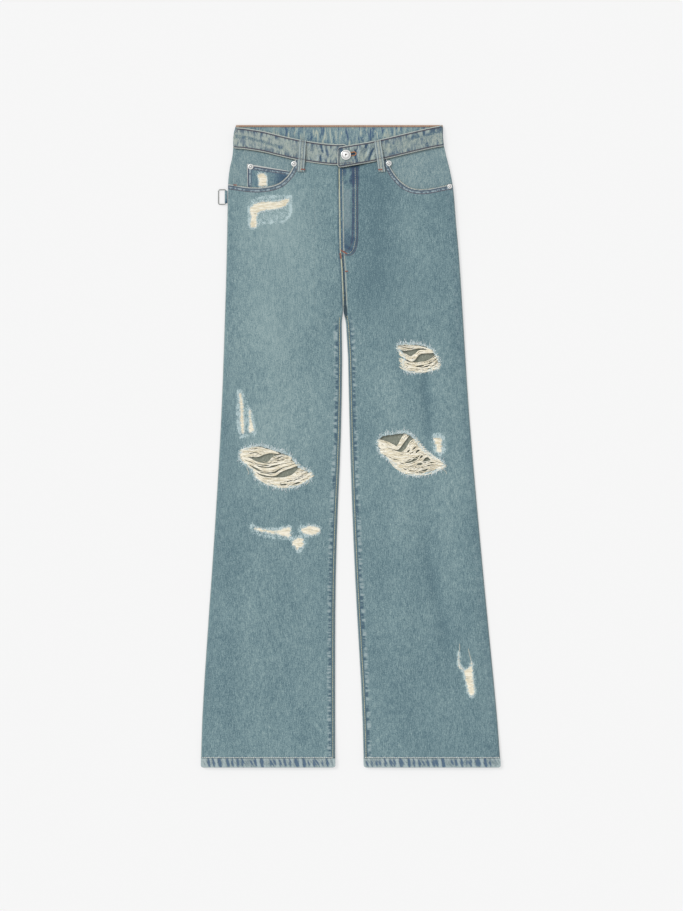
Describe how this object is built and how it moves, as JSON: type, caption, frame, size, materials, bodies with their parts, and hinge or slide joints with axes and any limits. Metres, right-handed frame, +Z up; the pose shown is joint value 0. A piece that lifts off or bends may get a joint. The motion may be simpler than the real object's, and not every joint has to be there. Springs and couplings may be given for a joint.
{
  "type": "ripped jeans, laid flat",
  "caption": "Full-length high-rise wide-leg ripped denim jeans laid flat with the front up, a fastened shank button and a wire ring on a side tab.",
  "frame": {"origin": "on the surface the jeans lie on, at the centre of their laid outline", "axes": "+Z up from the surface through the front, +Y towards the waist, +X towards the wearer's left leg"},
  "size_m": [0.4946, 1.059, 0.0128],
  "materials": {
    "denim": "washed mid-blue twill with frayed rips",
    "waistband": "washed, puckered twill, pale along its edges",
    "denim_inside": "pale inner face of the twill",
    "weft_thread": "cream cotton yarn, bare weft",
    "stitching": "cream and rust sewing thread",
    "metal": "bright nickel, softly worn"
  },
  "bodies": {
    "garment": {"front_right": "denim", "front_left": "denim", "back_right": "denim", "back_left": "denim", "yoke_right": "denim", "yoke_left": "denim", "hem_front_right": "denim", "hem_front_left": "denim", "hem_back_right": "denim", "hem_back_left": "denim", "waistband_front_right": "waistband", "waistband_front_left": "waistband", "waistband_back": "denim_inside", "pocket_facing_right": "denim", "pocket_facing_left": "denim", "coin_pocket": "denim", "back_pocket_right": "denim", "back_pocket_left": "denim", "belt_loop_front_right": "denim", "belt_loop_front_left": "denim", "belt_loop_back_right": "denim", "belt_loop_back_center": "denim", "belt_loop_back_left": "denim", "waist_button": "metal", "rivet_coin_pocket": "metal", "rivet_pocket_right": "metal", "rivet_pocket_left": "metal", "rivet_side_left": "metal", "ring_tab": "denim"},
    "ring": {"side_ring": "metal"}
  },
  "joints": [
    {"name": "ring_swing", "type": "hinge", "parent": "garment", "child": "ring", "pos_m": [-0.206, 0.411, 0.0022], "axis": [0, 1, 0], "range_deg": [0, 120]}
  ]
}
